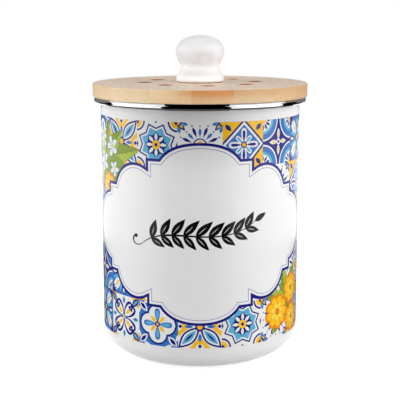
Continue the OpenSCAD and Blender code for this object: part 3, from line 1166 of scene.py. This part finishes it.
def wood(number, plain, high, low, high_from, high_to):
    """Pale wood, grained along Y, with growth rings, fibres and short dark flecks. The cut edge's
    tone goes from low at the bottom to high at the top, clouded with the plain tone. The high tone
    fades in across the stave, between two distances to the right of the caddy's axis."""
    look = Finish(f"stave_{number}", plain, 0.5, Specular_IOR_Level=0.35)
    where = look.node("TexCoord")
    at = look.axes(where.outputs["Object"])
    out = look.length(look.place((1, 1, 0)))
    cloud = look.noise(look.place(location=(0.013 * number, 0.021 * number, 0)), scale=38)
    up = look.fade(at["Z"], (BOARD_LOW + 1.0) * MM, (BOARD_TOP - 1.5) * MM)
    clouded_x = look.maths("ADD", at["X"], look.times(cloud, 0.012))
    right = look.fade(clouded_x, high_from * MM, high_to * MM)
    sides = look.mix(look.times(up, right), low, high)
    sides = look.mix(look.times(cloud, 0.35), sides, plain)
    sides = look.mix(look.maths("LESS_THAN", out, HOLES_WITHIN * MM), sides, HOLE_TONE)
    top = look.mix(off_hole(look, at, out), HOLE_TONE, shade(TOP_TONE, TOP_SHADES[number - 1]))
    facing = look.axes(where.outputs["Normal"])
    flat = look.ramp(look.maths("ABSOLUTE", facing["Z"]), [(0.55, 0.0), (0.8, 1.0)])
    tone = look.mix(flat, sides, top)

    fibres = look.noise(look.place((900, 26, 1700)), 1.0, detail=4, roughness=0.65)
    flecks = look.cells(look.place((620, 130, 620), (number, 0, 0)), 1.0)
    stains = ((growth_rings(look, number), 0.2, RING_STAIN),
              (look.ramp(fibres, [(0.4, 0.0), (0.75, 1.0)]), 0.5, FIBRE_STAIN),
              (look.ramp(flecks["Distance"], [(0.1, 1.0), (0.24, 0.0)]), 0.8, FLECK_STAIN))
    for pattern, strength, stain in stains:
        tone = look.mix(look.times(pattern, strength), tone, stain, "MULTIPLY")
    look.colour(tone)
    look.rough(fibres, 0.49, 0.14)
    look.bump(fibres, 0.03)
    return look


for number, tones in enumerate(EDGES, 1):
    dress(frame["nodes"][f"lid_stave_{number}"], wood(number, *tones), f"stave_{number}")

# Bezier control points as (radius, height above the knob's foot), from the foot to the crown
KNOB_CURVES = [
    ((17.6, 0), (18.5, 0), (19.0, 0.8), (19.0, 1.9)),
    ((19.0, 1.9), (19.0, 2.8), (18.7, 3.5), (18.2, 4.5)),
    ((18.2, 4.5), (17.1, 6.6), (14.65, 8.7), (14.65, 11.6)),
    ((14.65, 11.6), (14.65, 12.6), (15.1, 13.6), (15.9, 14.7)),
    ((15.9, 14.7), (17.7, 17.1), (18.95, 20.1), (18.95, 23.9)),
    ((18.95, 23.9), (18.95, 31.1), (11.2, 36.1), (0, 36.1))]
KNOB_FACETS = 192
KNOB_SHARP_DEG = 60
PORCELAIN = (0.7, 0.7, 0.715)
# The whiter tone that the knob's foot is painted, as painted light.
PAINTED_LIGHT_FOOT = (0.8, 0.81, 0.81)


def porcelain():
    """Glazed porcelain, painted whiter in the foot and the cove above it: painted light that makes the
    foot brighter than the ball.
    """
    look = glaze("porcelain", PORCELAIN, 0.4, 0.15)
    height = look.axes(look.place((1, 1, 1 / MM), (0, 0, -KNOB_BASE)))["Z"]
    up = look.maths("DIVIDE", height, KNOB_TOP - KNOB_BASE)
    look.colour(look.mix(look.ramp(up, [(0.3, 1.0), (0.41, 0.0)]), PORCELAIN, PAINTED_LIGHT_FOOT))
    return look


def make_knob():
    outline = [(0, 0)]
    for points in KNOB_CURVES:
        outline += curve(*points)[:-1]
    outline.append((0, KNOB_TOP - KNOB_BASE))
    knob = lathe("knob", [(r, z + KNOB_BASE) for r, z in outline], "lid", KNOB_FACETS, KNOB_SHARP_DEG)
    dress(knob, porcelain(), "porcelain")
    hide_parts("porcelain_knob")


make_knob()

# ---- Parts under the lid and inside the knob ----

STEEL = (0.62, 0.62, 0.62)
PLASTIC = (0.72, 0.71, 0.68)


def felt(name, colour):
    """Pressed fibre: a dark mat of crossing fibres, matt and rough."""
    look = Finish(name, colour, 0.95, Specular_IOR_Level=0.15)
    along = look.noise(look.place((4000, 700, 900)), 1.0, 5, 0.75, 1.5)
    across = look.noise(look.place((700, 4000, 900), (3, 1, 0)), 1.0, 5, 0.75, 1.5)
    mat = look.times(look.maths("ADD", along, across), 0.5)
    look.colour(look.mix(look.ramp(mat, [(0.38, 0.0), (0.66, 1.0)]), shade(colour, 0.35),
                         shade(colour, 2.2)))
    look.bump(mat, 0.25)
    return look


def cork(name, colour):
    """Small pressed grains, each of its own tone."""
    look = Finish(name, colour, 0.85, Specular_IOR_Level=0.2)
    grains = look.cells(look.place(), scale=1400)
    pick = look.axes(grains["Color"])["X"]
    look.colour(look.mix(pick, shade(colour, 0.6), shade(colour, 1.25)))
    look.bump(grains["Distance"], 0.08)
    return look


inner_looks = {
    "knob_insert": metal("brass", (0.72, 0.52, 0.22), 0.3, (300, 300, 2500), 0.12),
    "knob_washer": cork("cork", srgb(168, 116, 78)),
    "knob_screw": metal("knob_screw", STEEL, 0.3, (2500, 2500, 400), 0.12),
    "screw_washer": metal("screw_washer", STEEL, 0.32, (700, 2500, 700), 0.12),
    "housing_screws": metal("housing_screws", STEEL, 0.3, (2500, 700, 700), 0.12),
    "filter_housing": moulded("housing_plastic", PLASTIC, 0.45),
    "filter_retainer": moulded("retainer_plastic", shade(PLASTIC, 0.93), 0.45),
    "lid_gasket": moulded("silicone", (0.78, 0.77, 0.74), 0.55, 0.2, 0.01),
    "charcoal_filter": felt("charcoal", (0.018, 0.018, 0.02)),
}
slots = {part["node"]: part["material_slot"] for part in frame["record"]["subparts"]}
for node, look in inner_looks.items():
    dress(frame["nodes"][node], look, slots[node])
